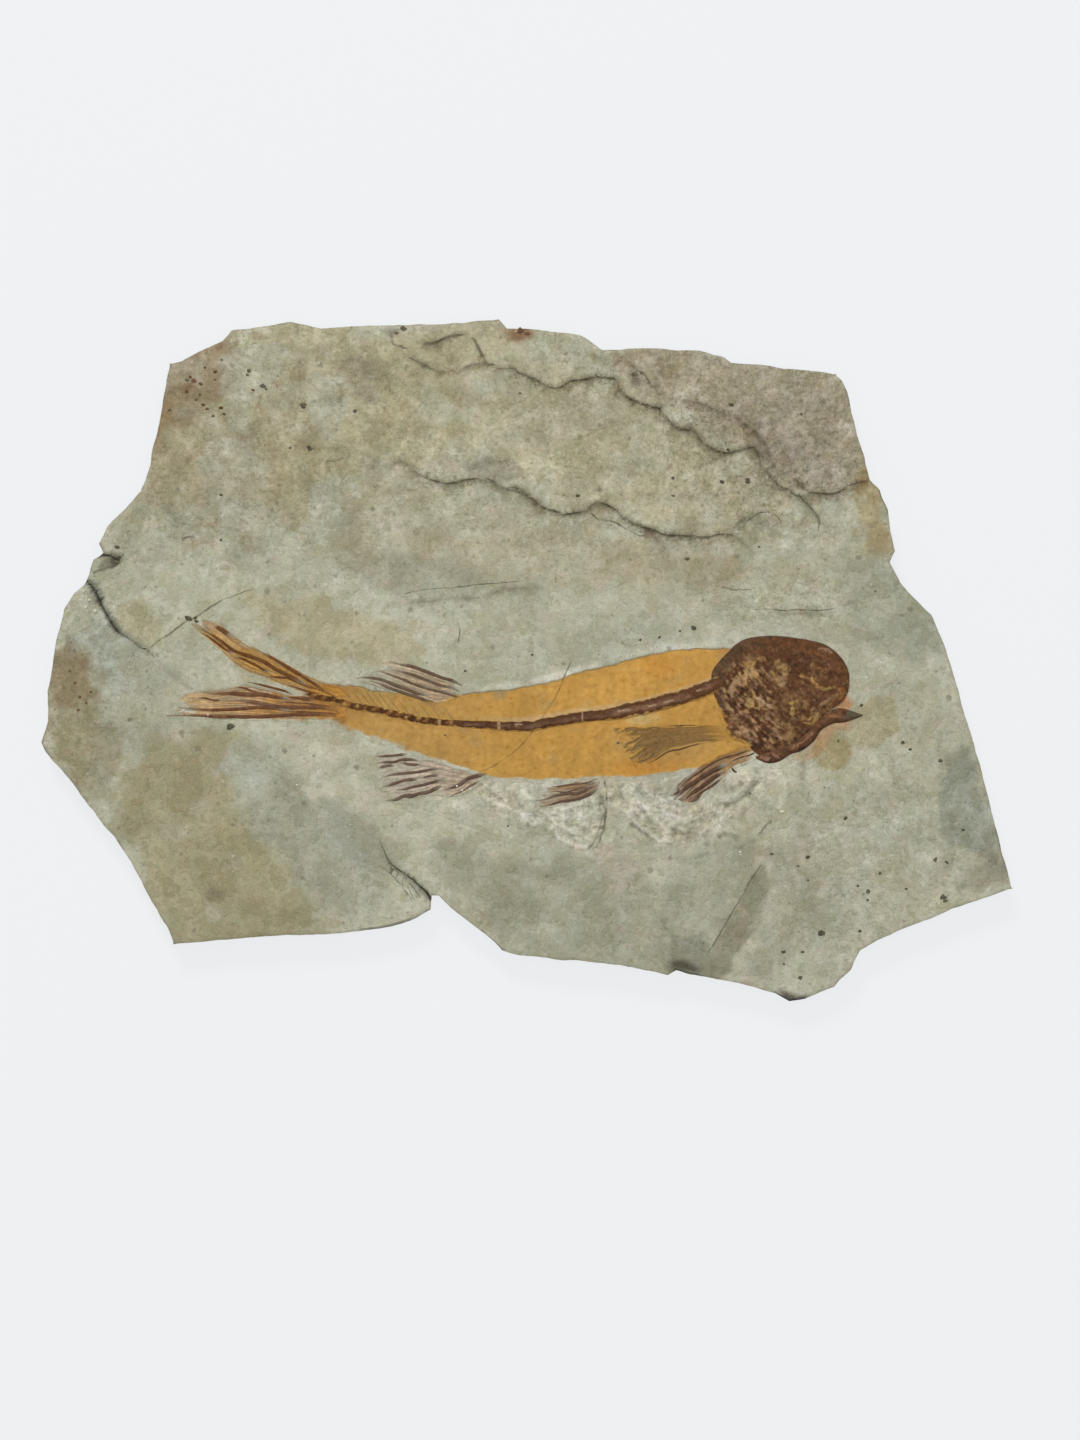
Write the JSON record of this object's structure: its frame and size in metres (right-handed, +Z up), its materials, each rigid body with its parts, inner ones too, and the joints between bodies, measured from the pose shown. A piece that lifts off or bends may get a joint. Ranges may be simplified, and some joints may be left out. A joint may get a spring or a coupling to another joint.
{
  "type": "fossil fish slab",
  "caption": "Flat shale plate with broken, layered sides and a small sturgeon-like fossil fish pressed on its upper face, lying flat for display.",
  "frame": {"origin": "under the middle of the plate's bounding box, on the flat underside that it lies on", "axes": "+X along the plate's length towards the fish's snout, +Y towards the plate's upper edge on the fish's back side, +Z up out of the fossil face"},
  "size_m": [0.418, 0.2931, 0.0151],
  "materials": {
    "shale": "matt greenish grey shale with khaki, blue-grey and rust-stained patches and dark specks",
    "body_film": "smooth ochre film, slightly mottled, with a soft satin sheen",
    "skull_bone": "dark brown crushed bone with gold and tan mottling, half gloss",
    "backbone_bone": "dark brown bone with paler joints, half gloss",
    "fin_bone": "brown fin rays over a thin tan web"
  },
  "bodies": {
    "root": {"slab": "shale", "body_film": "body_film", "skull": "skull_bone", "lower_jaw": "skull_bone", "backbone": "backbone_bone", "dorsal_fin": "fin_bone", "anal_fin": "fin_bone", "pelvic_fin": "fin_bone", "upper_pectoral_fin": "fin_bone", "lower_pectoral_fin": "fin_bone", "tail_upper_lobe": "fin_bone", "tail_lower_lobe": "fin_bone"}
  },
  "joints": []
}
